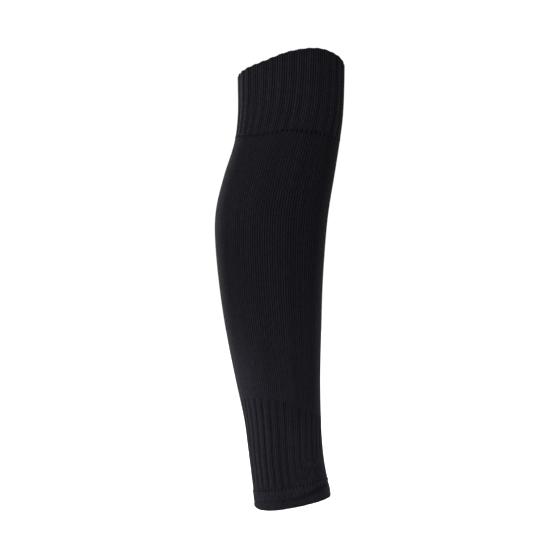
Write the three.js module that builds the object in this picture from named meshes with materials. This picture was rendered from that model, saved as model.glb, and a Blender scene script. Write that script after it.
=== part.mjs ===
// Footless football sock: a knitted sleeve for the lower leg, open at both ends, in its worn form.
// Millimetres. +Z runs up the leg towards the knee, +X points forward over the shin, Y across the leg.
// The origin is the middle of the leg hollow, level with the seam under the top band.
// The sleeve is the same on both sides of the XZ plane, so it fits a left or a right leg.

import * as THREE from 'three';

// Thickness of each knit, measured inwards from its outer face.
const BAND_WALL = 2.4;
const LEG_WALL = 1.6;
const RIB_WALL = 2.0;
const HEM_WALL = 2.2;

// Clearance in height where one knit runs into the next, and where the rib's end slants.
const KNIT_GAP = 0.45;
const SLANT_GAP = 0.9;

// The rolled lower edge of the hem stands proud of the outer face, below a shallow crease.
const ROLL_PROUD = 0.6;
const CREASE_DEPTH = 0.5;
const ROLL_ROUNDING = 0.5;

// Facets round the leg, and rows of facets down each knit.
const FACETS_AROUND = 48;
const BAND_ROWS = 6;
const LEG_ROWS = 16;
const RIB_ROWS = 7;

// Facets over the round rim of the band, and the share of the band's usual height that the rounding takes.
const RIM_FACETS = 4;
const BAND_HEIGHT = 70;
const RIM_SHARE = BAND_WALL / 2 / BAND_HEIGHT;

// Sections of the leg from the ankle up. Front and back are the outer face's reach along X, halfBreadth
// its reach along Y, and fullness how far its widest part sits behind the middle, or before it below zero.
const SECTIONS = [
  { height: -345, front: 42.3, back: -30.9, halfBreadth: 30.5, fullness: -0.06 },
  { height: -325, front: 38.6, back: -32.8, halfBreadth: 29.5, fullness: -0.06 },
  { height: -295, front: 33.2, back: -36.6, halfBreadth: 29.0, fullness: -0.06 },
  { height: -260, front: 30.9, back: -41.2, halfBreadth: 31.0, fullness: -0.03 },
  { height: -225, front: 30.1, back: -48.7, halfBreadth: 34.5, fullness: 0.02 },
  { height: -180, front: 31.0, back: -57.6, halfBreadth: 40.5, fullness: 0.06 },
  { height: -135, front: 32.4, back: -64.2, halfBreadth: 45.5, fullness: 0.09 },
  { height: -90, front: 35.5, back: -68.0, halfBreadth: 49.0, fullness: 0.1 },
  { height: -65, front: 38.3, back: -66.7, halfBreadth: 49.0, fullness: 0.1 },
  { height: -35, front: 43.3, back: -59.4, halfBreadth: 48.0, fullness: 0.09 },
  { height: -5, front: 48.0, back: -50.0, halfBreadth: 46.5, fullness: 0.07 },
  { height: 20, front: 51.2, back: -46.8, halfBreadth: 46.0, fullness: 0.05 },
  { height: 50, front: 52.5, back: -46.8, halfBreadth: 46.0, fullness: 0.04 },
  { height: 84, front: 52.8, back: -47.8, halfBreadth: 46.0, fullness: 0.04 },
];

// Heights of the edges between the knits, by angle from the front. The rim is pulled up at both sides,
// and the ankle rib stops short of the hem over the instep.
const EDGES = [
  { angle: 0, rim: 67.5, seam: -2.2, ribTop: -257.0, ribEnd: -293.0, crease: -318.0, foot: -332.4 },
  { angle: 30, rim: 72.8, seam: -2.7, ribTop: -254.5, ribEnd: -294.5, crease: -320.5, foot: -333.0 },
  { angle: 60, rim: 76.4, seam: 0.4, ribTop: -249.0, ribEnd: -298.5, crease: -326.0, foot: -335.2 },
  { angle: 90, rim: 72.8, seam: 1.3, ribTop: -241.0, ribEnd: -320.8, crease: -331.3, foot: -338.5 },
  { angle: 120, rim: 64.9, seam: -2.3, ribTop: -239.0, ribEnd: -323.7, crease: -334.0, foot: -341.9 },
  { angle: 150, rim: 60.0, seam: -1.2, ribTop: -240.0, ribEnd: -325.9, crease: -336.5, foot: -343.2 },
  { angle: 180, rim: 57.0, seam: 0.0, ribTop: -241.5, ribEnd: -327.5, crease: -337.5, foot: -341.8 },
];

// The edge rows with a mirrored row before the front and behind the back, so that edges run level there.
const EDGES_ROUND = [
  { ...EDGES[1], angle: -EDGES[1].angle },
  ...EDGES,
  { ...EDGES[EDGES.length - 2], angle: 360 - EDGES[EDGES.length - 2].angle },
];

// Slope of a column at one row, from the rows on either side of it.
function slopeAt(rows, key, column, row) {
  const before = rows[Math.max(row - 1, 0)];
  const after = rows[Math.min(row + 1, rows.length - 1)];
  return (after[column] - before[column]) / (after[key] - before[key]);
}

// Value of a column on the smooth curve through all rows.
function smooth(rows, key, column, at) {
  let row = 0;
  while (row < rows.length - 2 && rows[row + 1][key] < at) {
    row += 1;
  }
  const span = rows[row + 1][key] - rows[row][key];
  const t = (at - rows[row][key]) / span;
  const rise = t * t * (3 - 2 * t);
  const start = rows[row][column] * (1 - rise) + span * slopeAt(rows, key, column, row) * t * (1 - t) ** 2;
  const end = rows[row + 1][column] * rise - span * slopeAt(rows, key, column, row + 1) * t * t * (1 - t);
  return start + end;
}

// Point of the leg at an angle from the front and a height, set inwards from the outer face by a depth.
function legPoint(angle, height, depth) {
  const front = smooth(SECTIONS, 'height', 'front', height);
  const back = smooth(SECTIONS, 'height', 'back', height);
  const halfBreadth = smooth(SECTIONS, 'height', 'halfBreadth', height);
  const fullness = smooth(SECTIONS, 'height', 'fullness', height);
  const middle = (front + back) / 2;
  const halfDepth = (front - back) / 2;
  return new THREE.Vector3(
    middle + (halfDepth - depth) * Math.cos(angle),
    (halfBreadth - depth) * Math.sin(angle) * (1 - fullness * Math.cos(angle)),
    height,
  );
}

// Height of a named edge at an angle, the same on both sides of the leg.
function edgeHeight({ edge, clear }, angle) {
  const degrees = THREE.MathUtils.radToDeg(angle);
  return smooth(EDGES_ROUND, 'angle', edge, degrees > 180 ? 360 - degrees : degrees) + clear;
}

// A closed knit wall round the leg. The profile holds a depth in x and, in y, a place among the edges
// from the lowest up: 0 is on the first edge, 1 on the second, 0.5 halfway between them.
function knitWall(name, color, edges, profile) {
  const geometry = new THREE.LatheGeometry([...profile, profile[0]], FACETS_AROUND);
  const position = geometry.attributes.position;
  const rowCount = profile.length + 1;
  for (let index = 0; index < position.count; index += 1) {
    const facet = Math.floor(index / rowCount) % FACETS_AROUND;
    const angle = (facet / FACETS_AROUND) * 2 * Math.PI;
    const { x: depth, y: place } = profile[(index % rowCount) % profile.length];
    const lower = Math.min(Math.floor(place), edges.length - 2);
    const height = THREE.MathUtils.lerp(
      edgeHeight(edges[lower], angle),
      edgeHeight(edges[lower + 1], angle),
      place - lower,
    );
    const point = legPoint(angle, height, depth);
    position.setXYZ(index, point.x, point.y, point.z);
  }
  geometry.computeVertexNormals();
  const material = new THREE.MeshStandardMaterial({ color, roughness: 0.95, metalness: 0 });
  const mesh = new THREE.Mesh(geometry, material);
  mesh.name = name;
  return mesh;
}

// Rows of a straight wall between two edges: up the outer face, then down the inner face.
function straightProfile(wall, rows) {
  const places = Array.from({ length: rows + 1 }, (_, row) => row / rows);
  const outer = places.map((place) => new THREE.Vector2(0, place));
  const inner = places.map((place) => new THREE.Vector2(wall, place)).reverse();
  return [...outer, ...inner];
}

// The top band is folded double, so its rim is round.
function bandProfile() {
  const [outer, inner] = [0, BAND_WALL].map((depth) =>
    Array.from({ length: BAND_ROWS + 1 }, (_, row) => {
      const place = (row / BAND_ROWS) * (1 - RIM_SHARE);
      return new THREE.Vector2(depth, place);
    }),
  );
  const rim = Array.from({ length: RIM_FACETS - 1 }, (_, step) => {
    const turn = ((step + 1) / RIM_FACETS) * Math.PI;
    return new THREE.Vector2((BAND_WALL / 2) * (1 - Math.cos(turn)), 1 - RIM_SHARE * (1 - Math.sin(turn)));
  });
  return [...outer, ...rim, ...inner.reverse()];
}

// The hem is turned up double: a rolled edge from the foot to the crease, then a flat stretch to the rib.
function hemProfile() {
  const rows = [
    { depth: ROLL_ROUNDING, place: 0 },
    { depth: -0.7 * ROLL_PROUD, place: 0.18 },
    { depth: -ROLL_PROUD, place: 0.45 },
    { depth: -0.6 * ROLL_PROUD, place: 0.75 },
    { depth: CREASE_DEPTH, place: 1 },
    { depth: 0, place: 1.2 },
    { depth: 0, place: 1.6 },
    { depth: 0, place: 2 },
    { depth: HEM_WALL, place: 2 },
    { depth: HEM_WALL, place: 1.6 },
    { depth: HEM_WALL, place: 1 },
    { depth: HEM_WALL, place: 0.45 },
    { depth: HEM_WALL - ROLL_ROUNDING, place: 0 },
  ];
  return rows.map(({ depth, place }) => new THREE.Vector2(depth, place));
}

// An edge as the upper or the lower bound of a knit, clear of its neighbour by half the gap.
const below = (edge, gap) => ({ edge, clear: -gap / 2 });
const above = (edge, gap) => ({ edge, clear: gap / 2 });
const free = (edge) => ({ edge, clear: 0 });

const bandEdges = [above('seam', KNIT_GAP), free('rim')];
const legEdges = [above('ribTop', KNIT_GAP), below('seam', KNIT_GAP)];
const ribEdges = [above('ribEnd', SLANT_GAP), below('ribTop', KNIT_GAP)];
const hemEdges = [free('foot'), free('crease'), below('ribEnd', SLANT_GAP)];

const sock = new THREE.Group();
sock.add(knitWall('top_band', 0x1c1b20, bandEdges, bandProfile()));
sock.add(knitWall('leg_tube', 0x1f1e23, legEdges, straightProfile(LEG_WALL, LEG_ROWS)));
sock.add(knitWall('ankle_rib', 0x1d1c21, ribEdges, straightProfile(RIB_WALL, RIB_ROWS)));
sock.add(knitWall('hem', 0x201f24, hemEdges, hemProfile()));

export default sock;
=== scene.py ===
# %% [markdown]
# # A footless football sock
# A footless football sock is a knitted sleeve for the lower leg. It is one tube, made on a circular
# machine from the knee down, and it runs through four knits: a ribbed band folded double, a plain leg,
# a wide ankle rib and a turned hem. The CAD walls fix its size. This lesson dresses them in knit.

# %% Load the frame
import math

import bpy
import numpy as np
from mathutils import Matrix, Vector
from mathutils.bvhtree import BVHTree


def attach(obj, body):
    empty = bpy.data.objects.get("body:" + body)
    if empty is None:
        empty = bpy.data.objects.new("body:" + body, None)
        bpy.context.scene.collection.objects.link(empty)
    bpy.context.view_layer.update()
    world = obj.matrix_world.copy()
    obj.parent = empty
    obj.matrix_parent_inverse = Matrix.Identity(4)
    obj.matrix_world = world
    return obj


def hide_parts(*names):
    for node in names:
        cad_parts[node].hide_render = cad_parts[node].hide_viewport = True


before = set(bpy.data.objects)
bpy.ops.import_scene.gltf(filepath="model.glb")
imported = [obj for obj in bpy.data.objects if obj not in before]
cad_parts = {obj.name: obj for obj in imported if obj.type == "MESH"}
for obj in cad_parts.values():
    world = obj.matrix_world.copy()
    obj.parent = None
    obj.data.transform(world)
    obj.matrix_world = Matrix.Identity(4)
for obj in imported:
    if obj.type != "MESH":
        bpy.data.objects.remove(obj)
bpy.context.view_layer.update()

print("CAD nodes:", sorted(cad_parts))

# %% [markdown]
# ## Camera
# The picture looks taken level with the middle of the sleeve, from its side, with a long lens. A camera
# a little over a metre away has the same slight perspective: the rim and the hem both curve away from it.

# %% Set the camera
CAMERA_PLACE = (-0.0079, -1.1, -0.1316)
CAMERA_LENS = 76.2
SENSOR_WIDTH = 36.0
scene = bpy.context.scene
camera_data = bpy.data.cameras.new("camera")
camera_data.lens = CAMERA_LENS
camera_data.sensor_width = SENSOR_WIDTH
camera = bpy.data.objects.new("camera", camera_data)
camera.location = CAMERA_PLACE
camera.rotation_euler = (math.radians(90), 0, 0)
scene.collection.objects.link(camera)
bpy.context.scene.camera = camera
view_width = SENSOR_WIDTH / CAMERA_LENS * -CAMERA_PLACE[1]
print("the frame is", round(view_width, 4), "m wide at the sleeve")

# %% [markdown]
# ## Light and floor
# Black knit shows its ribs only where light rakes across it. One large soft light stands at the left in
# front, a little above the sleeve, and one at the left behind it draws a bright edge along the calf. Three
# soft spots reach the ankle, so that it does not sink into the dark. White surroundings fill the shadows
# from all sides, as a white studio does. The floor has a light of its own and throws none back, so it
# stays white and lends the sleeve no light.

# %% Set the surroundings
SEEN_WHITE = 1.05
FILL_LIGHT = 0.512
scene.view_settings.view_transform = "Standard"
scene.view_settings.look = "None"
world = bpy.data.worlds.new("white studio")
world.use_nodes = True
scene.world = world
surroundings = world.node_tree.nodes["Background"]
surroundings.inputs["Color"].default_value = (1, 1, 1, 1)
seen_or_fill = world.node_tree.nodes.new("ShaderNodeMix")
seen_or_fill.inputs[2].default_value = FILL_LIGHT
seen_or_fill.inputs[3].default_value = SEEN_WHITE
ray_kind = world.node_tree.nodes.new("ShaderNodeLightPath")
world.node_tree.links.new(ray_kind.outputs["Is Camera Ray"], seen_or_fill.inputs[0])
world.node_tree.links.new(seen_or_fill.outputs[0], surroundings.inputs["Strength"])
print("surroundings: white", SEEN_WHITE, "to the eye,", FILL_LIGHT, "as light")

# %% Lay the floor
FLOOR_HEIGHT = -0.44
FLOOR_HALF = 6.0
FLOOR_WHITE = (0.93, 0.93, 0.93, 1)
floor_mesh = bpy.data.meshes.new("floor")
floor_corners = [(x, y, FLOOR_HEIGHT) for x, y in
                 ((-FLOOR_HALF, -FLOOR_HALF), (FLOOR_HALF, -FLOOR_HALF),
                  (FLOOR_HALF, FLOOR_HALF), (-FLOOR_HALF, FLOOR_HALF))]
floor_mesh.from_pydata(floor_corners, [], [(0, 1, 2, 3)])
floor = bpy.data.objects.new("floor", floor_mesh)
scene.collection.objects.link(floor)
floor_paint = bpy.data.materials.new("pale floor")
floor_paint.use_nodes = True
floor_shader = floor_paint.node_tree.nodes["Principled BSDF"]
floor_shader.inputs["Base Color"].default_value = FLOOR_WHITE
floor_shader.inputs["Roughness"].default_value = 0.9
floor_shader.inputs["Specular IOR Level"].default_value = 0.0
floor_mesh.materials.append(floor_paint)
floor.visible_diffuse = False
floor.visible_glossy = False

# %% Hang the soft lights
SLEEVE_AIM = Vector((0, 0, -0.13))
# Name, place, width, height and power.
SOFT_LIGHTS = (
    ("left key", (-1.15, -1.64, 0.35), 0.9, 1.6, 23.6),
    ("left edge", (-0.95, 1.31, -0.15), 0.6, 1.6, 30.6),
)


def hang(data, place, aim):
    """Hangs a light at a place, turned towards a point of the sleeve."""
    lamp = bpy.data.objects.new(data.name, data)
    lamp.location = place
    lamp.rotation_euler = (aim - Vector(place)).to_track_quat("-Z", "Y").to_euler()
    scene.collection.objects.link(lamp)


for name, place, width, height, power in SOFT_LIGHTS:
    soft = bpy.data.lights.new(name, "AREA")
    soft.shape = "RECTANGLE"
    soft.size = width
    soft.size_y = height
    soft.energy = power
    hang(soft, place, SLEEVE_AIM)
print("soft lights:", [row[0] for row in SOFT_LIGHTS])

# %% Hang the low lights
ANKLE_AIM = Vector((-0.01, 0, -0.295))
LOW_SPREAD = math.radians(20)
LOW_RADIUS = 0.15
# Name, place and power.
LOW_LIGHTS = (
    ("low left", (-1.07, 0.25, -0.36), 86),
    ("low right", (0.95, 1.2, -0.3), 41),
    ("low front", (0.8, -0.6, -0.3), 16),
)
for name, place, power in LOW_LIGHTS:
    spot = bpy.data.lights.new(name, "SPOT")
    spot.energy = power
    spot.spot_size = LOW_SPREAD
    spot.spot_blend = 1.0
    spot.shadow_soft_size = LOW_RADIUS
    hang(spot, place, ANKLE_AIM)
print("low lights:", [row[0] for row in LOW_LIGHTS])

# %% Light the floor alone
FLOOR_POWER = 3.0
FLOOR_SPREAD = math.radians(60)
overhead_data = bpy.data.lights.new("floor light", "SUN")
overhead_data.energy = FLOOR_POWER
overhead_data.angle = FLOOR_SPREAD
overhead = bpy.data.objects.new("floor light", overhead_data)
scene.collection.objects.link(overhead)
floor_only = bpy.data.collections.new("floor only")
floor_only.objects.link(floor)
overhead.light_linking.receiver_collection = floor_only

# %% [markdown]
# ## The shape of the worn sleeve
# A knitted sleeve has no shape of its own: it takes the leg's. The CAD model holds that shape as a table
# of sections, each with its reach to the front, to the back and to the sides, and a smooth curve runs
# through the rows. The same rule here gives any point of the wall, as fine as the knit needs.

# %% Sections of the leg
# Height, front, back, half breadth and fullness behind the middle.
LEG_SECTIONS = np.array([
    (-0.345, 0.0423, -0.0309, 0.0305, -0.06),
    (-0.325, 0.0386, -0.0328, 0.0295, -0.06),
    (-0.295, 0.0332, -0.0366, 0.0290, -0.06),
    (-0.260, 0.0309, -0.0412, 0.0310, -0.03),
    (-0.225, 0.0301, -0.0487, 0.0345, 0.02),
    (-0.180, 0.0310, -0.0576, 0.0405, 0.06),
    (-0.135, 0.0324, -0.0642, 0.0455, 0.09),
    (-0.090, 0.0355, -0.0680, 0.0490, 0.10),
    (-0.065, 0.0383, -0.0667, 0.0490, 0.10),
    (-0.035, 0.0433, -0.0594, 0.0480, 0.09),
    (-0.005, 0.0480, -0.0500, 0.0465, 0.07),
    (0.020, 0.0512, -0.0468, 0.0460, 0.05),
    (0.050, 0.0525, -0.0468, 0.0460, 0.04),
    (0.084, 0.0528, -0.0478, 0.0460, 0.04),
])


def smooth_rows(table, at):
    """All columns of a table on the smooth curve through its rows; the first column is the key."""
    before = table[np.maximum(np.arange(len(table)) - 1, 0)]
    after = table[np.minimum(np.arange(len(table)) + 1, len(table) - 1)]
    slope = (after - before) / (after[:, :1] - before[:, :1])
    row = np.clip(np.searchsorted(table[:, 0], at) - 1, 0, len(table) - 2)
    span = table[row + 1, :1] - table[row, :1]
    t = (np.asarray(at)[..., None] - table[row, :1]) / span
    rise = t * t * (3 - 2 * t)
    start = table[row] * (1 - rise) + span * slope[row] * t * (1 - t) ** 2
    return start + table[row + 1] * rise - span * slope[row + 1] * t * t * (1 - t)


def columns_at(table, at):
    """The columns of a table after its key, each as an array of its own."""
    return np.moveaxis(smooth_rows(table, at), -1, 0)[1:]


print("the leg has", len(LEG_SECTIONS), "sections")


# %% Points of the leg
def leg_point(angle, height, depth):
    """Points of the wall at an angle from the front and a height, set inwards from the outer face."""
    front, back, half_breadth, fullness = columns_at(LEG_SECTIONS, height)
    x = (front + back) / 2 + ((front - back) / 2 - depth) * np.cos(angle)
    y = (half_breadth - depth) * np.sin(angle) * (1 - fullness * np.cos(angle))
    return np.stack([x, y, height], -1)


def leg_directions(angle, height):
    """Unit vectors out of the outer face and up along it."""
    step = 1e-4
    around = leg_point(angle + step, height, 0) - leg_point(angle - step, height, 0)
    up = leg_point(angle, height + step, 0) - leg_point(angle, height - step, 0)
    out = np.cross(around, up)
    out /= np.linalg.norm(out, axis=-1, keepdims=True)
    return out, up / np.linalg.norm(up, axis=-1, keepdims=True)


CALF_HEIGHT = -0.09
all_round = np.linspace(0, 2 * np.pi, 721)
calf = leg_point(all_round, np.full(len(all_round), CALF_HEIGHT), 0.0)
print("the calf is", round(float(np.linalg.norm(np.diff(calf, axis=0), axis=1).sum()), 3), "m round")

# %% [markdown]
# ## Where one knit ends and the next begins
# No edge of the sleeve is level. The rim is pulled up at both sides, the ankle rib starts lower over the
# shin, and it stops short of the hem over the instep. Each edge is one column of a table by angle from
# the front, with mirrored rows added past the front and the back so that the curves run level there.

# %% Edges between the knits
# Angle, rim, seam under the band, top of the ankle rib, end of the rib, hem line, crease, foot.
EDGE_NAMES = ("rim", "seam", "rib_top", "rib_end", "hem_line", "crease", "foot")
EDGE_ROWS = np.array([
    (0, 0.0675, -0.0022, -0.2570, -0.2930, -0.3160, -0.3180, -0.3324),
    (30, 0.0728, -0.0027, -0.2545, -0.2945, -0.3161, -0.3205, -0.3330),
    (60, 0.0764, 0.0004, -0.2490, -0.2985, -0.3185, -0.3260, -0.3352),
    (90, 0.0728, 0.0013, -0.2410, -0.3208, -0.3208, -0.3313, -0.3385),
    (120, 0.0649, -0.0023, -0.2390, -0.3237, -0.3237, -0.3340, -0.3419),
    (150, 0.0600, -0.0012, -0.2400, -0.3259, -0.3259, -0.3365, -0.3432),
    (180, 0.0570, 0.0000, -0.2415, -0.3275, -0.3275, -0.3375, -0.3418),
])
past_front = EDGE_ROWS[1].copy()
past_front[0] = -past_front[0]
past_back = EDGE_ROWS[-2].copy()
past_back[0] = 360 - past_back[0]
EDGES_ROUND = np.vstack([past_front, EDGE_ROWS, past_back])


def edge_height(edge, angle):
    """Height of a named edge at an angle, the same on both sides of the leg."""
    degrees = np.degrees(angle) % 360
    degrees = np.where(degrees > 180, 360 - degrees, degrees)
    return columns_at(EDGES_ROUND, degrees)[EDGE_NAMES.index(edge)]


for edge in EDGE_NAMES:
    print(edge, "runs from", *[round(float(edge_height(edge, np.array(a))), 4) for a in (0.0, math.pi)])

# %% [markdown]
# ## One grid for every knit
# Knitters call a column of stitches a wale and a row a course. The sleeve has the same wales from the rim
# to the hem, because the machine's needles are never changed, so every wall here shares one set of columns,
# six to a wale, and the ribs of one knit run on into the next. The picture is too coarse to count the
# wales, and 132 is an estimate. They do not run quite straight down the leg. Drift draws them to the back
# on both sides, where the calf stretches the sleeve most, crowding brings them closer together at the
# sides, and twist turns the worn ankle a little.

# %% Wales down the leg
WALES = 132
COLUMNS_PER_WALE = 6
COLUMNS = WALES * COLUMNS_PER_WALE
WALE_ANGLES = np.arange(COLUMNS) * 2 * np.pi / COLUMNS
# Height, drift, crowding and twist of the wales.
WALE_ROWS = np.array([
    (-0.345, -0.04, 0.0, -0.300),
    (-0.325, -0.04, 0.0, -0.290),
    (-0.295, -0.04, 0.0, -0.262),
    (-0.280, -0.03, 0.0, -0.225),
    (-0.260, 0.0, 0.0, -0.167),
    (-0.245, 0.02, 0.0, -0.120),
    (-0.225, 0.01, 0.005, -0.100),
    (-0.180, 0.05, 0.02, -0.080),
    (-0.135, 0.10, 0.035, -0.050),
    (-0.065, 0.14, 0.05, -0.020),
    (-0.005, 0.14, 0.045, 0.0),
    (0.020, 0.07, 0.04, 0.0),
    (0.050, 0.02, 0.04, 0.0),
    (0.084, 0.0, 0.04, 0.0),
])


def worn_angles(height):
    """Angles at which the columns run at their heights on the worn sleeve."""
    drift, crowding, twist = columns_at(WALE_ROWS, height)
    return WALE_ANGLES + drift * np.sin(WALE_ANGLES) + crowding * np.sin(2 * WALE_ANGLES) + twist


print("the side wale lies at", round(float(worn_angles(np.full(COLUMNS, CALF_HEIGHT))[COLUMNS // 4]), 2),
      "rad on the calf")

# %% [markdown]
# ## Walls
# A knit has two faces, so each wall is a closed loop of rows: up the outer face, over the top edge, down
# the inner face and round the bottom edge. A row's place among the edges gives its height. That height
# depends on the angle, and the drift of the wales on the height, so the grid is settled in a few rounds.
# A Solidify modifier would be shorter, but it could not give each row its own place and depth.

# %% Rows of a wall
FACES_OUT = 0.0
FACES_UP = 1.0
FACES_IN = 2.0
SETTLING_ROUNDS = 4


def wall_rows(places, depth, facing):
    """Profile rows with a place among the edges, a depth and, in quarter turns, the way they face."""
    places = np.asarray(places, float)
    return np.stack([places, np.broadcast_to(depth, places.shape), np.broadcast_to(facing, places.shape)], -1)


def wall_grid(edges, profile):
    """Points, directions, heights and angles of a wall, one row for each profile row.
    Edges are pairs of a name and a clearance, from the lowest up."""
    place, depth, facing = (column[:, None] for column in profile.T)
    lower = np.clip(np.floor(place).astype(int), 0, len(edges) - 2)
    at_row = np.arange(len(profile))[:, None]
    at_column = np.arange(COLUMNS)[None, :]
    angle = np.broadcast_to(WALE_ANGLES, (len(profile), COLUMNS))
    for _ in range(SETTLING_ROUNDS):
        heights = np.stack([edge_height(name, angle) + clear for name, clear in edges])
        low = heights[lower, at_row, at_column]
        high = heights[lower + 1, at_row, at_column]
        height = low + (high - low) * (place - lower)
        angle = worn_angles(height)
    out, up = leg_directions(angle, height)
    turn = facing[..., None] * np.pi / 2
    return leg_point(angle, height, depth), np.cos(turn) * out + np.sin(turn) * up, height, angle


leg_rows = wall_rows(np.linspace(0, 1, 3), 0.0, FACES_OUT)
leg_points, _, _, _ = wall_grid([("rib_top", 0.0), ("seam", 0.0)], leg_rows)
wale_width = np.linalg.norm(np.diff(leg_points[1], axis=0), axis=1).mean() * COLUMNS_PER_WALE
print("a wale is", round(float(wale_width) * 1000, 2), "mm wide at mid leg")


# %% Wall mesh
def keep_facts(mesh, facts):
    """Keeps named numbers or vectors at the points of a mesh, for the node trees to read."""
    for fact, values in facts.items():
        kind, field = ("FLOAT_VECTOR", "vector") if values.shape[-1] == 3 else ("FLOAT", "value")
        kept = mesh.attributes.new(fact, kind, "POINT")
        kept.data.foreach_set(field, values.astype(np.float32).ravel())


def mark_sharp(mesh, sharp_rows):
    """Marks the edges along some rows as sharp, so that shading turns a corner there."""
    pairs = np.zeros(len(mesh.edges) * 2, np.int32)
    mesh.edges.foreach_get("vertices", pairs)
    first, second = pairs.reshape(-1, 2).T // COLUMNS
    sharp = (first == second) & np.isin(first, sharp_rows)
    mesh.attributes.new("sharp_edge", "BOOLEAN", "EDGE").data.foreach_set("value", sharp)


def knit_wall(name, points, facts, courses, sharp_rows):
    """A closed wall from a grid of points. Facts are values kept at each point, for the relief and the
    finish. The map named knit counts wales across and courses up, and OFBake lays the wall out flat."""
    rows = len(points)
    row = np.arange(rows)[:, None, None] + np.array([0, 0, 1, 1])
    column = np.arange(COLUMNS)[None, :, None] + np.array([0, 1, 1, 0])
    faces = (row % rows) * COLUMNS + column % COLUMNS
    mesh = bpy.data.meshes.new(name)
    mesh.from_pydata(points.reshape(-1, 3), [], faces.reshape(-1, 4))
    mesh.polygons.foreach_set("use_smooth", np.ones(rows * COLUMNS, bool))
    keep_facts(mesh, facts)
    closing = np.append(courses, courses[-1] + 1)
    steps = np.linalg.norm(np.diff(points, axis=0, append=points[:1]), axis=-1).mean(1)
    along = np.append(0, np.cumsum(steps)) / steps.sum()
    maps = {"knit": (column / COLUMNS_PER_WALE, closing[row]), "OFBake": (column / COLUMNS, along[row])}
    for label, (across, upwards) in maps.items():
        flat = np.stack(np.broadcast_arrays(across, upwards), -1).astype(np.float32)
        mesh.uv_layers.new(name=label).data.foreach_set("uv", flat.ravel())
    mark_sharp(mesh, np.asarray(sharp_rows) % rows)
    mesh.validate()
    piece = bpy.data.objects.new(name, mesh)
    scene.collection.objects.link(piece)
    return piece


def triangles(piece):
    """Triangles that a piece's mesh holds."""
    return sum(len(face.vertices) - 2 for face in piece.data.polygons)


print("one row of a wall makes", COLUMNS * 2, "triangles")

# %% Distance to the CAD wall
SAMPLE_STEP = 97


def distance_to_cad(node, points):
    """Largest distance in millimetres from some of the points to a CAD node's surface."""
    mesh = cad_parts[node].data
    tree = BVHTree.FromPolygons([v.co for v in mesh.vertices], [p.vertices for p in mesh.polygons])
    some = points.reshape(-1, 3)[::SAMPLE_STEP]
    return round(1000 * max(tree.find_nearest(Vector(p))[3] for p in some), 2)


print("the leg's rule lies within", distance_to_cad("leg_tube", leg_points), "mm of the CAD wall")

# %% [markdown]
# ## Node trees as sums
# Both the relief of the knit and its finish are worked out by nodes. Wiring dozens of Math nodes by hand
# hides the formula, so a small class stands for a socket and lets plain Python sums build the nodes.


# %% Sockets that add up
class Term:
    """A socket in a node tree that can be used in sums."""

    def __init__(self, graph, socket):
        self.graph = graph
        self.socket = socket

    def other(self, name):
        """Another output of the same node."""
        return Term(self.graph, self.socket.node.outputs[name])

    def math(self, operation, *terms):
        return self.graph.node("ShaderNodeMath", {"operation": operation}, dict(enumerate(terms)))

    def __add__(self, term):
        return self.math("ADD", self, term)

    def __sub__(self, term):
        return self.math("SUBTRACT", self, term)

    def __rsub__(self, term):
        return self.math("SUBTRACT", term, self)

    def __mul__(self, term):
        return self.math("MULTIPLY", self, term)

    def __truediv__(self, term):
        return self.math("DIVIDE", self, term)

    def __pow__(self, term):
        return self.math("POWER", self, term)

    def __abs__(self):
        return self.math("ABSOLUTE", self)

    __radd__ = __add__
    __rmul__ = __mul__

    def fract(self):
        return self.math("FRACT", self)

    def rounded(self):
        return self.math("ROUND", self)

    def floor(self):
        return self.math("FLOOR", self)

    def sin(self):
        return self.math("SINE", self)

    def cos(self):
        return self.math("COSINE", self)

    def rising(self, low, high):
        """0 below low, 1 above high, with a smooth rise between."""
        return self.graph.node("ShaderNodeMapRange", {"interpolation_type": "SMOOTHSTEP"},
                               {"Value": self, "From Min": low, "From Max": high})


class Graph:
    """A node tree under construction, of a finish or of a relief."""

    def __init__(self, tree):
        self.tree = tree

    def node(self, kind, settings, sockets, output=0):
        """Adds one node: its settings first, then its sockets' values or links."""
        made = self.tree.nodes.new(kind)
        for name, value in settings.items():
            setattr(made, name, value)
        for key, value in sockets.items():
            for one in value if isinstance(value, list) else [value]:
                if isinstance(one, Term):
                    self.tree.links.new(one.socket, made.inputs[key])
                else:
                    made.inputs[key].default_value = one
        return Term(self, made.outputs[output]) if len(made.outputs) else None

    def mix(self, factor, first, second):
        """A colour between two, or past the second where the factor is above 1."""
        settings = {"data_type": "RGBA", "clamp_factor": False}
        return self.node("ShaderNodeMix", settings, {0: factor, 6: first, 7: second}, 2)


print("terms can be added, multiplied and rounded")


# %% Trees for Geometry Nodes
def geometry_graph(name, sizes):
    """A new tree with a mesh in and out, and with inputs for named sizes, a seed and a material.
    Returns the graph and its inputs."""
    tree = bpy.data.node_groups.new(name, "GeometryNodeTree")
    tree.interface.new_socket("Geometry", in_out="INPUT", socket_type="NodeSocketGeometry")
    tree.interface.new_socket("Geometry", in_out="OUTPUT", socket_type="NodeSocketGeometry")
    kinds = dict.fromkeys(sizes, "NodeSocketFloat")
    kinds.update({"Seed": "NodeSocketInt", "Material": "NodeSocketMaterial"})
    for label, kind in kinds.items():
        tree.interface.new_socket(label, in_out="INPUT", socket_type=kind)
    graph = Graph(tree)
    entry = graph.node("NodeGroupInput", {}, {})
    return graph, {label: entry.other(label) for label in ("Geometry", *kinds)}


def end_tree(graph, geometry, material):
    """Ends a tree in real geometry with its material set."""
    real = graph.node("GeometryNodeRealizeInstances", {}, {"Geometry": geometry})
    dressed = graph.node("GeometryNodeSetMaterial", {}, {"Geometry": real, "Material": material})
    graph.node("NodeGroupOutput", {}, {"Geometry": dressed})


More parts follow.
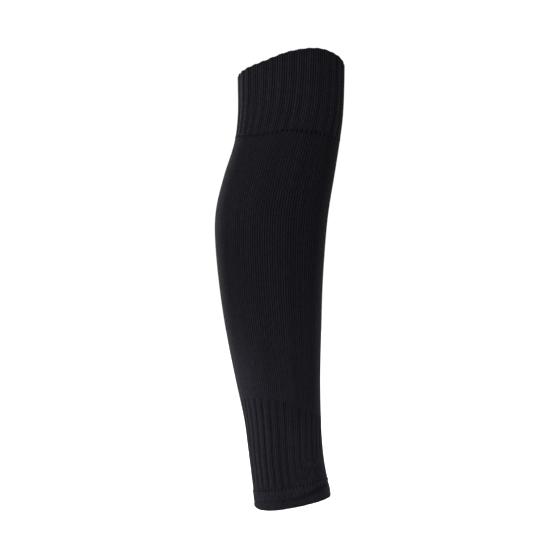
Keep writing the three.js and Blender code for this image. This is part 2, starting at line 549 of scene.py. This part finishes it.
def run_tree(piece, tree, values):
    """Runs a tree on a piece with its inputs set, and keeps the result as a plain mesh."""
    modifier = piece.modifiers.new(tree.name, "NODES")
    modifier.node_group = tree
    for item in tree.interface.items_tree:
        if item.in_out == "INPUT" and item.name in values:
            modifier[item.identifier] = values[item.name]
    depsgraph = bpy.context.evaluated_depsgraph_get()
    made = piece.evaluated_get(depsgraph)
    mesh = bpy.data.meshes.new_from_object(made, preserve_all_data_layers=True, depsgraph=depsgraph)
    piece.modifiers.clear()
    piece.data = mesh
    mesh.name = piece.name
    return piece


print("trees get their inputs by name and set them by identifier")

# %% [markdown]
# ## Relief of the knit
# A rib is made by knitting some wales from the back: those sink, and the others stand up between them.
# Within a plain knit each wale is still a small rounded cord. Sculpting 132 of them would be endless, and
# a texture alone would leave the outline smooth. A Geometry Nodes tree pushes every point of a wall
# inwards by a depth that depends only on its place among the wales, so one tree serves all four knits.
# One seed makes the wales uneven in the same way in all of them, so that their edges still meet.

# %% Wales that stand up
RELIEF_SIZES = ("Wales per Repeat", "Sunken Wales", "Middle of Dip", "Softness", "Rib Depth", "Wale Depth",
                "Uneven Wales")


def raised_wales(wale, repeat, sunken, middle, softness):
    """1 on the wales that stand up and 0 on the sunken ones of each repeat."""
    aside = abs(((wale - middle) / repeat + 0.5).fract() - 0.5) * repeat
    return aside.rising(sunken * 0.5 - softness, sunken * 0.5 + softness)


def kept_fact(graph, name, kind="FLOAT"):
    """A value kept at each point of a wall, read by name."""
    return graph.node("GeometryNodeInputNamedAttribute", {"data_type": kind}, {"Name": name})


print("the relief has", len(RELIEF_SIZES), "sizes")

# %% Relief tree
CORD_ROUNDNESS = 0.7
relief, size = geometry_graph("knit relief", RELIEF_SIZES)
wale = kept_fact(relief, "wale")
waled = kept_fact(relief, "waled")
raised = raised_wales(wale, size["Wales per Repeat"], size["Sunken Wales"], size["Middle of Dip"],
                      size["Softness"])
between_wales = 1 - abs((wale * math.pi).cos()) ** CORD_ROUNDNESS
wale_number = relief.node("FunctionNodeFloatToInt", {}, {0: wale})
uneven = relief.node("FunctionNodeRandomValue", {"data_type": "FLOAT"},
                     {2: 0.0, 3: 1.0, "ID": wale_number, "Seed": size["Seed"]}, 1)
depth = (size["Rib Depth"] * (1 - raised) * kept_fact(relief, "ribbed")
         + size["Wale Depth"] * between_wales * waled
         + size["Uneven Wales"] * uneven * (1 - between_wales) * waled)
inwards = relief.node("ShaderNodeVectorMath", {"operation": "SCALE"},
                      {0: kept_fact(relief, "out", "FLOAT_VECTOR"), "Scale": 0 - depth})
pushed = relief.node("GeometryNodeSetPosition", {}, {"Geometry": size["Geometry"], "Offset": inwards})
end_tree(relief, pushed, size["Material"])
print("relief tree:", len(relief.tree.nodes), "nodes")

# %% [markdown]
# ## Finish of the knit
# The yarn is matte and black with a little violet in it, most likely polyester. Looked at closely, a plain
# knit shows rows of small V shapes on its outside and rows of arcs on its inside, and the sunken wales of a
# rib show arcs too. A stitch is only one or two millimetres across, and there are too many to model one by
# one, so they are drawn by tone and a bump that count wales and courses on the wall's own map. The tone
# holds painted shade: it is dark between the wales, in the hollows of each stitch and in the sunken wales of
# a rib. Single stitches and whole wales differ a little in tone, as they do in cloth. Fine fibres catch light
# at grazing angles: that is sheen.

# %% Stitches in a wale
V_SLANT = 0.6
V_TROUGH = 0.35
ARC_RISE = 0.3
ARC_THINNESS = 1.4


def stitch_shapes(across, up):
    """Heights of the V shapes and of the arcs, and the course that each point belongs to."""
    from_middle = abs((across + 0.5).fract() * 2 - 1)
    slanted = up + from_middle * V_SLANT
    leg = 1 - abs(from_middle * 2 - 1) ** 2
    v_shape = leg * (V_TROUGH + (1 - V_TROUGH) * (slanted.fract() * math.pi).sin())
    arc = abs(((up + ARC_RISE * (across * (2 * math.pi)).cos()) * math.pi).sin()) ** ARC_THINNESS
    return v_shape, arc, slanted.floor()


print("the legs of a V rise by", V_SLANT, "of a course")

# %% Tone of the stitches
# Painted shade: between wales the tone falls to the valley tone, and the stitch's height sets part of the
# tone.
VALLEY_SHADE_TONE = 0.05
VALLEY_WIDTH = 1.5
STITCH_SHARE = 0.8
STITCH_GAIN = 1.47
WALE_SPREAD = 0.2
CLOUD_SPREAD = 0.2
CLOUD_SCALE = 38.0


def stitch_tone_and_shade(graph, across, course, stitch, unlike):
    """How light a point is: painted shade between wales and in stitch hollows, unlike from stitch to stitch.
    """
    number = across.rounded()
    of_wale = graph.node("ShaderNodeTexWhiteNoise", {"noise_dimensions": "1D"}, {"W": number})
    cell = graph.node("ShaderNodeCombineXYZ", {}, {"X": number, "Y": course})
    of_stitch = graph.node("ShaderNodeTexWhiteNoise", {"noise_dimensions": "2D"}, {"Vector": cell})
    place = graph.node("ShaderNodeTexCoord", {}, {}, "Object")
    cloud = graph.node("ShaderNodeTexNoise", {"noise_dimensions": "3D"},
                       {"Vector": place, "Scale": CLOUD_SCALE, "Detail": 3.0})
    valley = abs((across * math.pi).cos()) ** VALLEY_WIDTH
    tone = VALLEY_SHADE_TONE + (1 - VALLEY_SHADE_TONE) * valley
    tone = tone * (STITCH_GAIN * (1 - STITCH_SHARE + STITCH_SHARE * stitch))
    tone = tone * (1 + unlike * (of_stitch - 0.5)) * (1 + WALE_SPREAD * (of_wale - 0.5))
    return tone * (1 - CLOUD_SPREAD / 2 + CLOUD_SPREAD * cloud)


print("stitches give", STITCH_SHARE, "of the tone")

# %% Knit finish
BUMP = 0.25
DARKEST = 0.1
LIGHTEST = 1.4
ROUGHNESS = 0.9
GLOSS = 0.04
SHEEN_SPREAD = 0.25
SHEEN_TINT = (0.92, 0.92, 1.0, 1)


def shaded(tone, share):
    """A share of a tone, as a colour."""
    return tuple(share * c for c in tone) + (1.0,)


def matte_finish(name, sheen):
    """A matte yarn material with its sheen; returns it, its graph and its shader."""
    material = bpy.data.materials.new(name)
    material.use_nodes = True
    shader = material.node_tree.nodes["Principled BSDF"]
    shader.inputs["Roughness"].default_value = ROUGHNESS
    shader.inputs["Specular IOR Level"].default_value = GLOSS
    shader.inputs["Sheen Weight"].default_value = sheen
    shader.inputs["Sheen Roughness"].default_value = SHEEN_SPREAD
    shader.inputs["Sheen Tint"].default_value = SHEEN_TINT
    return material, Graph(material.node_tree), shader


def knit_finish(name, tone, stitch_height, unlike, sheen, rib=None, groove=0.0):
    """A knit material. Unlike says how much stitches differ; rib holds wales in a repeat, sunken wales,
    the middle of the dip and softness; groove says how much painted shade darkens the sunken wales."""
    material, graph, shader = matte_finish(name, sheen)
    place = graph.node("ShaderNodeUVMap", {"uv_map": "knit"}, {})
    across = graph.node("ShaderNodeSeparateXYZ", {}, {0: place})
    inside = graph.node("ShaderNodeAttribute", {"attribute_name": "inside"}, {}, "Fac")
    light = graph.node("ShaderNodeAttribute", {"attribute_name": "lit"}, {}, "Fac")
    v_shape, arc, course = stitch_shapes(across, across.other("Y"))
    v_share = 1 - inside
    if rib:
        raised = raised_wales(across, *rib)
        v_share = raised * (1 - inside) + (1 - raised) * inside
        # Painted shade darkens the sunken wales.
        light = light * (1 - groove + groove * raised)
    stitch = v_shape * v_share + arc * (1 - v_share)
    # The stitch tone holds painted shade between the wales and in the stitches' hollows.
    light = light * stitch_tone_and_shade(graph, across, course, stitch, unlike)
    colour = graph.mix(light, shaded(tone, DARKEST), shaded(tone, LIGHTEST))
    bump = graph.node("ShaderNodeBump", {}, {"Strength": BUMP, "Distance": stitch_height, "Height": stitch})
    material.node_tree.links.new(colour.socket, shader.inputs["Base Color"])
    material.node_tree.links.new(bump.socket, shader.inputs["Normal"])
    return material


print("tones run from", DARKEST, "to", LIGHTEST, "of the yarn's own")

# %% Four knits
LEG_BLACK = (0.0120, 0.0114, 0.0158)
DOUBLE_BLACK = (0.0154, 0.0147, 0.0200)
# Wales in a repeat, sunken wales, middle of the dip and softness.
BAND_RIB = (4.0, 2.0, 0.5, 0.45)
ANKLE_RIB = (4.0, 1.6, 0.0, 0.8)
ANKLE_GROOVE = (4.0, 1.0, 0.0, 0.5)
NO_RIB = (4.0, 1.0, 0.0, 0.35)
band_knit = knit_finish("black two by two rib", DOUBLE_BLACK, stitch_height=0.0005, unlike=0.4, sheen=0.2,
                        rib=BAND_RIB, groove=0.25)
leg_knit = knit_finish("black plain knit", LEG_BLACK, stitch_height=0.0004, unlike=0.35, sheen=0.13)
rib_knit = knit_finish("black three by one rib", DOUBLE_BLACK, stitch_height=0.0005, unlike=0.4, sheen=0.2,
                       rib=ANKLE_GROOVE, groove=0.45)
hem_knit = knit_finish("black turned hem", DOUBLE_BLACK, stitch_height=0.0004, unlike=0.7, sheen=0.15)
print("finishes:", [m.name for m in (band_knit, leg_knit, rib_knit, hem_knit)])

# %% [markdown]
# ## What each wall tells the trees
# One relief tree serves every wall, so a wall has to say what holds at each of its points: which wale it
# lies on, how far ribs and wales show there, whether it faces inwards, and how light it is, with painted
# light and shade. Blender keeps such values as attributes of the mesh, and the trees of the relief and of
# the finish read them by name.

# %% Relief sizes of each knit
WALE_SEED = 12
UNEVEN_WALES = 0.00008
BAND_WALES = 0.00030
PLAIN_WALES = 0.00023
INNER_WALES = 0.4


def relief_values(material, rib, rib_depth, wale_depth):
    """Inputs of the relief tree for one knit."""
    repeat, sunken, middle, softness = rib
    return {"Wales per Repeat": repeat, "Sunken Wales": sunken, "Middle of Dip": middle,
            "Softness": softness, "Rib Depth": rib_depth, "Wale Depth": wale_depth,
            "Uneven Wales": UNEVEN_WALES, "Seed": WALE_SEED, "Material": material}


def wall_facts(out, ribbed, waled, inside, lit):
    """Values kept at each point of a wall. Lit scales the knit's tone: it holds painted shade in folds and
    dips that light hardly reaches, painted light and shade from the leg's table, and the knit's own lighter
    and darker parts."""
    shape = out.shape[:2]
    wale = np.broadcast_to(np.arange(COLUMNS) / COLUMNS_PER_WALE, shape)
    facts = {"wale": wale, "ribbed": ribbed, "waled": waled, "inside": inside, "lit": lit}
    kept = {name: np.broadcast_to(values, shape).copy() for name, values in facts.items()}
    return {**kept, "out": out}


print("each wall keeps its wale, its direction and four weights at every point")


# %% Small helpers for the walls
def ramp(value, low, high):
    """0 below low, 1 above high, with a straight rise between."""
    return np.clip((value - low) / (high - low), 0, 1)


def blend(first, second, share):
    """A value between two."""
    return first + (second - first) * share


def inner_side(profile):
    """1 on the rows that face inwards and 0 on the others."""
    return ((profile[:, 2:] > FACES_UP) & (profile[:, 2:] < FACES_IN + 0.5)).astype(float)


def corner_rows(profile):
    """Rows at the ends of the outer and of the inner face."""
    outer = int((profile[:, 2] == FACES_OUT).sum())
    return [0, outer - 1, outer, -1]


def drawn_in(points, out, depth):
    """Points moved inwards by a depth."""
    return points - out * depth[..., None]


def knit_piece(name, points, facts, course, sharp_rows, values):
    """A wall with its courses counted along its rows and its relief pressed in."""
    steps = np.linalg.norm(np.diff(points, axis=0), axis=-1).mean(1)
    courses = np.append(0, np.cumsum(steps)) / course
    piece = run_tree(knit_wall(name, points, facts, courses, sharp_rows), relief.tree, values)
    print(name, "has", triangles(piece), "triangles")
    return piece


print("half way up a ramp from 2 to 4 lies", ramp(3, 2, 4))

# %% [markdown]
# ## Top band
# The band is a two-by-two rib, folded double so that it grips below the knee, and its fold is the rim.
# The ribs run over the fold and down the inside. The lower edge is drawn in where it is linked to the leg,
# but the leg pulls that dip flat at the front and the back. On the inside the band's edge laps a little
# way behind the leg's, as a linked edge does, so no light comes through the seam.

# %% Seam under the band
SEAM_DRAW = 0.0007
SEAM_GAP = 0.00015
SEAM_CLEAR = SEAM_GAP * np.abs(np.sin(WALE_ANGLES))
SEAM_ROWS = np.array([0.0, 0.0003, 0.0006, 0.0010, 0.0016])
SEAM_REACH = 0.0024
# Share of painted shade in the seam's dip.
SEAM_SHADE = 0.8
# Sines of the angle from the front between which the dip comes in, and its least share towards the back.
SEAM_SIDES = (0.25, 0.875)
SEAM_LEAN = 0.75
SEAM_BACK = 0.6
LINE_WIDTH = 0.0010


def line_dip(edge, height, angle):
    """1 on an edge where stitches draw the knit in, and 0 a little above and below it."""
    return np.exp(-((height - edge_height(edge, angle)) / LINE_WIDTH) ** 2)


def seam_dip(height, angle):
    """The dip along the seam, deepest at the sides, and deeper towards the front than the back."""
    sideways = ramp(np.abs(np.sin(angle)), *SEAM_SIDES)
    forward = np.clip(SEAM_LEAN + np.cos(angle), SEAM_BACK, 1)
    return line_dip("seam", height, angle) * sideways * forward


print("the seam is drawn in by", SEAM_DRAW * 1000, "mm")

# %% Rows of the band
BAND_WALL = 0.0024
LEG_WALL = 0.0016
BAND_HEIGHT = 0.070
BAND_ROWS = 40
BAND_INNER_ROWS = 30
RIM_FACETS = 8
LAP_HEIGHT = 0.0015
LAP_GAP = 0.0002
LAP_ROWS = 3
rim_share = BAND_WALL / 2 / BAND_HEIGHT
rim_turn = np.linspace(0, np.pi, RIM_FACETS + 1)[1:-1]
lap_place = -LAP_HEIGHT / BAND_HEIGHT
band_profile = np.vstack([
    wall_rows(SEAM_ROWS / BAND_HEIGHT, 0.0, FACES_OUT),
    wall_rows(np.linspace(SEAM_REACH / BAND_HEIGHT, 1 - rim_share, BAND_ROWS), 0.0, FACES_OUT),
    wall_rows(1 - rim_share * (1 - np.sin(rim_turn)), BAND_WALL / 2 * (1 - np.cos(rim_turn)),
              FACES_IN * rim_turn / np.pi),
    wall_rows(np.linspace(1 - rim_share, 0, BAND_INNER_ROWS), BAND_WALL, FACES_IN),
    wall_rows([lap_place], BAND_WALL, FACES_IN),
    wall_rows([lap_place, 0.0], LEG_WALL + LAP_GAP, FACES_OUT),
])
off_lap = np.ones((len(band_profile), 1))
off_lap[-LAP_ROWS:] = 0
print("the band has", len(band_profile), "rows")

# %% Build the top band
BAND_COURSE = 0.0013
BAND_RIB_DEPTH = 0.0005
INNER_RIBS = 0.6
SEAM_RIBS = 0.35
SEAM_RIB_REACH = 0.004
RIM_RIBS_FRONT = 0.5
RIM_RIBS_BACK = 0.9
RIM_TO_BACK = (-0.6, 0.4)
RIM_RIB_REACH = 0.006
# Tone of the painted shade on the rim's fold.
RIM_SHADE_TONE = 0.3
RIM_FOLD = (0.0004, 0.0014)
points, out, height, angle = wall_grid([("seam", SEAM_CLEAR), ("rim", 0.0)], band_profile)
print("the band lies within", distance_to_cad("top_band", points), "mm of the CAD wall before its relief")
inner = inner_side(band_profile)
dip = seam_dip(height, angle) * (1 - inner) * off_lap
points = drawn_in(points, out, SEAM_DRAW * dip)
above_seam = height - edge_height("seam", angle)
below_rim = edge_height("rim", angle) - height
rim_ribs = blend(RIM_RIBS_FRONT, RIM_RIBS_BACK, ramp(-np.cos(angle), *RIM_TO_BACK))
from_seam = blend(SEAM_RIBS, 1, ramp(above_seam, 0, SEAM_RIB_REACH))
from_rim = blend(rim_ribs, 1, ramp(below_rim, 0, RIM_RIB_REACH))
ribbed = np.where(inner > 0, INNER_RIBS, from_seam * from_rim) * off_lap
# Painted shade on the rim's fold and along the seam's dip.
lit = blend(RIM_SHADE_TONE, 1, ramp(below_rim, *RIM_FOLD)) * (1 - SEAM_SHADE * dip)
facts = wall_facts(out, ribbed, off_lap, inner, lit)
top_band = knit_piece("band_knit_tube", points, facts, BAND_COURSE, [0, *range(-LAP_ROWS, 0)],
                      relief_values(band_knit, BAND_RIB, BAND_RIB_DEPTH, BAND_WALES))

# %% [markdown]
# ## Leg
# The leg is plain knit, thin and close-fitting. Only its wales show, as fine upright cords that follow the
# calf. It needs no ribs, so the relief tree gets a rib depth of nothing. Stretched knit opens and looks
# darker, and slack knit looks lighter, so its tone follows the girth of the leg. A short table paints light
# and shade into the tone at the back and beside the shin, for the shading of the calf's shape that the
# lights here do not give. Its numbers were tuned to match the picture's tones.

# %% Tone and painted shading of the worn leg
CLOSENESS = 0.8
# Cosines of the angle from the back, or from the front, between which a tone comes in or goes out.
BACK_FADE = (0.2, 0.8)
SIDE_FADE = (0.0, 0.4)
SHIN_FADE = (-0.95, -0.7)
# Height, and the painted light at the back and beside the shin, painted shade where below 0.
PAINTED_SHADING_ROWS = np.array([
    (-0.345, 0.0, 0.0),
    (-0.290, 0.0, 0.0),
    (-0.270, 0.03, 0.0),
    (-0.255, 0.08, -0.18),
    (-0.235, 0.13, -0.22),
    (-0.212, 0.19, -0.16),
    (-0.195, 0.05, -0.09),
    (-0.175, -0.20, -0.08),
    (-0.150, -0.34, -0.10),
    (-0.120, -0.34, -0.09),
    (-0.095, -0.22, -0.04),
    (-0.075, 0.0, 0.0),
    (0.020, 0.0, 0.0),
])


def closeness(height):
    """How much lighter the knit looks where it is less stretched than over the calf."""
    front, back, half_breadth, _ = columns_at(LEG_SECTIONS, height)
    half_girth = (front - back) / 2 + half_breadth
    return (half_girth.max() / half_girth) ** CLOSENESS


def painted_leg_shading(height, angle):
    """Painted light and shade by height, at the back and beside the shin, with none at the sides."""
    back, beside_shin = columns_at(PAINTED_SHADING_ROWS, height)
    forward = np.cos(angle)
    to_back = ramp(-forward, *BACK_FADE)
    to_shin = ramp(forward, *SIDE_FADE) * ramp(-forward, *SHIN_FADE)
    return 1 + to_back * back + to_shin * beside_shin


print("tones at the back run from", PAINTED_SHADING_ROWS[:, 1].min(), "to", PAINTED_SHADING_ROWS[:, 1].max())

# %% Build the leg
LEG_COURSE = 0.00125
LEG_HEIGHT = 0.245
LEG_ROWS = 80
LEG_INNER_ROWS = 26
leg_profile = np.vstack([
    wall_rows(np.linspace(0, 1 - SEAM_REACH / LEG_HEIGHT, LEG_ROWS), 0.0, FACES_OUT),
    wall_rows(1 - SEAM_ROWS[::-1] / LEG_HEIGHT, 0.0, FACES_OUT),
    wall_rows(np.linspace(1, 0, LEG_INNER_ROWS), LEG_WALL, FACES_IN),
])
points, out, height, angle = wall_grid([("rib_top", 0.0), ("seam", -SEAM_CLEAR)], leg_profile)
print("the leg lies within", distance_to_cad("leg_tube", points), "mm of the CAD wall before its relief")
inner = inner_side(leg_profile)
dip = seam_dip(height, angle) * (1 - inner)
points = drawn_in(points, out, SEAM_DRAW * dip)
# Painted shade along the seam's dip, and the table's painted light and shade.
lit = closeness(height) * painted_leg_shading(height, angle) * (1 - SEAM_SHADE * dip)
facts = wall_facts(out, 0.0, blend(1, INNER_WALES, inner), inner, lit)
leg_tube = knit_piece("leg_knit_tube", points, facts, LEG_COURSE, corner_rows(leg_profile),
                      relief_values(leg_knit, NO_RIB, 0.0, PLAIN_WALES))

# %% [markdown]
# ## Ankle rib
# Three wales up and one down: wide flat ribs with narrow grooves, which draw the sleeve in at the ankle.
# The machine starts each groove on a whole course, so the ribs begin in small steps, lower towards the
# shin, and over the instep they stop early. Each point's weight for the ribs is set from the groove it
# lies nearest to, which gives those steps. On the inside the grooves stand out, so their weight is below 0.

# %% Rows of the ankle rib
RIB_WALL = 0.0020
RIB_ROWS = 58
RIB_INNER_ROWS = 24
HEM_DRAW = 0.0006
FRONT_BACK_DIP = 0.3
# Share of painted shade in the dip of the hem line.
LINE_SHADE = 0.5


def hem_dip(height, angle):
    """The dip along the hem line, deepest on the flat sides of the ankle."""
    return line_dip("hem_line", height, angle) * blend(FRONT_BACK_DIP, 1, np.abs(np.sin(angle)))


rib_profile = np.vstack([
    wall_rows(np.linspace(0, 1, RIB_ROWS), 0.0, FACES_OUT),
    wall_rows(np.linspace(1, 0, RIB_INNER_ROWS), RIB_WALL, FACES_IN),
])
repeat_columns = ANKLE_RIB[0] * COLUMNS_PER_WALE
groove_columns = (np.round(np.arange(COLUMNS) / repeat_columns) * repeat_columns).astype(int) % COLUMNS
print("the ankle has", len(set(groove_columns)), "grooves")

# %% Build the ankle rib
RIB_DEPTH = 0.0007
RIB_INSIDE = -0.5
# Distances from the top edge and from the end between which a groove comes to its full depth.
RIB_START = (0.0006, 0.0016)
RIB_STOP = (0.0008, 0.0068)
points, out, height, angle = wall_grid([("rib_end", 0.0), ("rib_top", 0.0)], rib_profile)
print("the rib lies within", distance_to_cad("ankle_rib", points), "mm of the CAD wall before its relief")
inner = inner_side(rib_profile)
groove_angle = angle[:, groove_columns]
below_top = edge_height("rib_top", groove_angle) - height
above_end = height - edge_height("rib_end", groove_angle)
ribbed = ramp(below_top, *RIB_START) * ramp(above_end, *RIB_STOP) * blend(1, RIB_INSIDE, inner)
dip = hem_dip(height, angle) * (1 - inner)
points = drawn_in(points, out, HEM_DRAW * dip)
# Painted light and shade from the leg's table, and painted shade in the dip of the hem line.
lit = painted_leg_shading(height, angle) * (1 - LINE_SHADE * dip)
facts = wall_facts(out, ribbed, blend(1, INNER_WALES, inner), inner, lit)
ankle_rib = knit_piece("ankle_knit_tube", points, facts, LEG_COURSE, corner_rows(rib_profile),
                       relief_values(rib_knit, ANKLE_RIB, RIB_DEPTH, PLAIN_WALES))

# %% [markdown]
# ## Hem
# The last courses are turned up inside and caught down by a row of stitches, the hem line. Below it the
# double knit stands a little proud, and the free edge rolls outwards under a crease, as plain knit does.
# The crease is broad and deep over the instep, where the foot bends the hem. The wall's depth follows the
# distance to those two lines, which meet over the instep.

# %% Rows of the hem
HEM_WALL = 0.0022
ROLL_ROWS = 15
FLAT_ROWS = 43
HEM_INNER_ROWS = 13
# Depth and facing of the rows round the foot's edge.
FOOT_TURN = np.array([(0.0016, 2.6), (0.0010, 3.0), (0.0004, 3.4)])
hem_profile = np.vstack([
    wall_rows(np.linspace(0, 1, ROLL_ROWS + 1)[1:], 0.0, FACES_OUT),
    wall_rows(np.linspace(1, 2, FLAT_ROWS + 1)[1:], 0.0, FACES_OUT),
    wall_rows(np.linspace(2, 0, HEM_INNER_ROWS + 1)[:-1], HEM_WALL, FACES_IN),
    wall_rows(np.zeros(len(FOOT_TURN)), *FOOT_TURN.T),
])
points, out, height, angle = wall_grid([("foot", 0.0), ("crease", 0.0), ("rib_end", 0.0)], hem_profile)
above_crease = height - edge_height("crease", angle)
above_line = height - edge_height("hem_line", angle)
print("the hem has", len(hem_profile), "rows")

# %% Folds of the hem
DOUBLE_PROUD = 0.0003
ROLL_PROUD = 0.0004
LINE_STEP = 0.0008
CREASE_STEP = 0.0012
# Cosines of the angle from the front between which the instep begins.
INSTEP_REACH = (-0.35, 0.65)
# At the back and over the instep.
CREASE_WIDTH = (0.0013, 0.0030)
CREASE_DEPTH = (0.0003, 0.0012)
CREASE_SHADE = (0.1, 0.6)
instep = ramp(np.cos(angle), *INSTEP_REACH)
crease = np.exp(-(above_crease / blend(*CREASE_WIDTH, instep)) ** 2)
crease_depth = blend(*CREASE_DEPTH, instep * np.abs(np.sin(angle)))
line = hem_dip(height, angle)
double = ramp(-above_line, 0, LINE_STEP) * ramp(above_crease, 0, CREASE_STEP)
up_roll = ramp(height, edge_height("foot", angle), edge_height("crease", angle))
roll = np.sin(np.pi * up_roll) * (above_crease < 0)
shaping = crease_depth * crease + HEM_DRAW * line - DOUBLE_PROUD * double - ROLL_PROUD * roll
print("the hem's folds run from", round(1000 * float(shaping.min()), 2), "to",
      round(1000 * float(shaping.max()), 2), "mm inwards")

# %% Build the hem
ABOVE_LINE_TONE = 0.84
INSTEP_PAINTED_LIGHT = 1.12
inner = inner_side(hem_profile)
points = drawn_in(points, out, shaping * (hem_profile[:, 2:] == FACES_OUT))
# Painted shade along the hem line and in the crease, and painted light over the instep.
lit = (1 - LINE_SHADE * line) * (1 - blend(*CREASE_SHADE, instep) * crease)
lit = lit * np.where(above_line > 0, ABOVE_LINE_TONE, 1.0) * blend(1, INSTEP_PAINTED_LIGHT, instep)
facts = wall_facts(out, 0.0, blend(1, INNER_WALES, inner), inner, lit)
hem = knit_piece("hem_knit_tube", points, facts, LEG_COURSE, corner_rows(hem_profile)[1:3],
                 relief_values(hem_knit, NO_RIB, 0.0, PLAIN_WALES))

# %% [markdown]
# ## Stitches of the seam and the hem
# The band is linked to the leg loop by loop, so under it dark gaps alternate with small loops of yarn. The
# hem is caught down by a zigzag thread. Both are one thing repeated along a line: a pair of short yarn
# legs. A Geometry Nodes tree makes the pair once and sets it on each point of the line, turned so that it
# lies on the cloth, with a slight uneven turn to each.

# %% One stitch
STITCH_SIZES = ("Stitch Height", "Foot Spread", "Head Spread", "Yarn", "Bulge", "Uneven Turn")
YARN_STEPS = 6
YARN_SIDES = 6
END_SINK = -0.6
stitching, size = geometry_graph("yarn stitches", STITCH_SIZES)


def corner(across, up, out):
    """A point of the stitch, across the line, up the cloth and out of it."""
    return stitching.node("ShaderNodeCombineXYZ", {}, {"X": across, "Y": up, "Z": out})


def yarn_leg(side):
    """One leg of the stitch, to the left for -1 and to the right for 1. Its ends sink into the cloth."""
    sunk = size["Yarn"] * END_SINK
    foot = corner(size["Foot Spread"] * (0.5 * side), size["Stitch Height"] * -0.5, sunk)
    head = corner(size["Head Spread"] * (0.5 * side), size["Stitch Height"] * 0.5, sunk)
    knee = corner((size["Foot Spread"] + size["Head Spread"]) * (0.25 * side), 0.0, size["Bulge"] * 2)
    path = stitching.node("GeometryNodeCurveQuadraticBezier", {},
                          {"Resolution": YARN_STEPS, "Start": foot, "Middle": knee, "End": head})
    ring = stitching.node("GeometryNodeCurvePrimitiveCircle", {},
                          {"Resolution": YARN_SIDES, "Radius": size["Yarn"] * 0.5})
    return stitching.node("GeometryNodeCurveToMesh", {},
                          {"Curve": path, "Profile Curve": ring, "Fill Caps": True})


pair = stitching.node("GeometryNodeJoinGeometry", {}, {"Geometry": [yarn_leg(-1), yarn_leg(1)]})
print("one stitch:", len(stitching.tree.nodes), "nodes")

# %% Stitch tree
on_cloth = stitching.node("FunctionNodeAxesToRotation", {"primary_axis": "Z", "secondary_axis": "Y"},
                          {0: kept_fact(stitching, "out", "FLOAT_VECTOR"),
                           1: kept_fact(stitching, "up", "FLOAT_VECTOR")})
turn = stitching.node("FunctionNodeRandomValue", {"data_type": "FLOAT"},
                      {2: -1.0, 3: 1.0, "Seed": size["Seed"]}, 1)
lean = stitching.node("FunctionNodeEulerToRotation", {}, {0: corner(0.0, 0.0, turn * size["Uneven Turn"])})
rotation = stitching.node("FunctionNodeRotateRotation", {"rotation_space": "LOCAL"}, {0: on_cloth, 1: lean})
placed = stitching.node("GeometryNodeInstanceOnPoints", {},
                        {"Points": size["Geometry"], "Instance": pair, "Rotation": rotation})
smooth_yarn = stitching.node("GeometryNodeSetShadeSmooth", {}, {"Geometry": placed})
end_tree(stitching, smooth_yarn, size["Material"])
print("stitch tree:", len(stitching.tree.nodes), "nodes")

# %% Yarn finish
YARN_SHEEN = 0.2
YARN_DARK = 0.6
YARN_LIGHT = 1.4
YARN_CLOUD = 900.0
SEAM_YARN_TONE = 0.95
HEM_YARN_TONE = 1.6


def yarn_finish(name, share):
    """Plain matte yarn in a share of the leg's black, a little uneven along its length."""
    material, graph, shader = matte_finish(name, YARN_SHEEN)
    place = graph.node("ShaderNodeTexCoord", {}, {}, "Object")
    cloud = graph.node("ShaderNodeTexNoise", {}, {"Vector": place, "Scale": YARN_CLOUD, "Detail": 2.0})
    colour = graph.mix(cloud, shaded(LEG_BLACK, share * YARN_DARK), shaded(LEG_BLACK, share * YARN_LIGHT))
    material.node_tree.links.new(colour.socket, shader.inputs["Base Color"])
    return material


seam_yarn = yarn_finish("black linking yarn", SEAM_YARN_TONE)
hem_yarn = yarn_finish("black hem yarn", HEM_YARN_TONE)
print("yarns:", seam_yarn.name, "and", hem_yarn.name)

# %% Sew the stitches
STITCHES = WALES // 2
HEM_STITCH_LIFT = -0.0006


def stitch_line(name, edge, lift, values):
    """Stitches all along an edge, one to every second wale, lifted above it by a height."""
    points, out, height, angle = wall_grid([(edge, lift), ("rim", 0.0)], wall_rows([0.0], 0.0, FACES_OUT))
    _, up = leg_directions(angle, height)
    apart = COLUMNS // STITCHES
    chosen = np.arange(STITCHES) * apart + apart // 4
    mesh = bpy.data.meshes.new(name)
    mesh.from_pydata(points[0, chosen], [], [])
    keep_facts(mesh, {"out": out[0, chosen], "up": up[0, chosen]})
    piece = bpy.data.objects.new(name, mesh)
    scene.collection.objects.link(piece)
    return run_tree(piece, stitching.tree, values)


seam_stitches = stitch_line("seam_stitches", "seam", 0.0, {
    "Stitch Height": 0.0034, "Foot Spread": 0.0010, "Head Spread": 0.0013, "Yarn": 0.0009,
    "Bulge": 0.0001, "Uneven Turn": 0.25, "Seed": 21, "Material": seam_yarn})
hem_stitches = stitch_line("hem_stitches", "hem_line", HEM_STITCH_LIFT, {
    "Stitch Height": 0.0026, "Foot Spread": 0.0003, "Head Spread": 0.0012, "Yarn": 0.0007,
    "Bulge": 0.0004, "Uneven Turn": 0.15, "Seed": 22, "Material": hem_yarn})
print("stitches:", triangles(seam_stitches), "and", triangles(hem_stitches), "triangles")

# %% [markdown]
# ## Hand over
# Each piece rides on the frame's one body and stands for its CAD wall, which is hidden. A knitted tube
# opened out flat, as it is worn, is as wide as its girth and as long as its height.

# %% Hand the knits over
MEASURED_ROWS = 20


def hand_over(piece, node, low, high, stitches=()):
    """Gives a knit and its stitches to the frame's body and hides the CAD node it stands for.
    It also works out rows of the knit's outer face, which nothing reads.
    """
    rows = wall_rows(np.linspace(0, 1, MEASURED_ROWS), 0.0, FACES_OUT)
    face, _, _, _ = wall_grid([(low, 0.0), (high, 0.0)], rows)
    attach(piece, "root")
    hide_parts(node)
    for sewn in stitches:
        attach(sewn, "root")


hand_over(top_band, "top_band", "seam", "rim", [seam_stitches])
hand_over(leg_tube, "leg_tube", "rib_top", "seam")
hand_over(ankle_rib, "ankle_rib", "rib_end", "rib_top")
hand_over(hem, "hem", "foot", "rib_end", [hem_stitches])
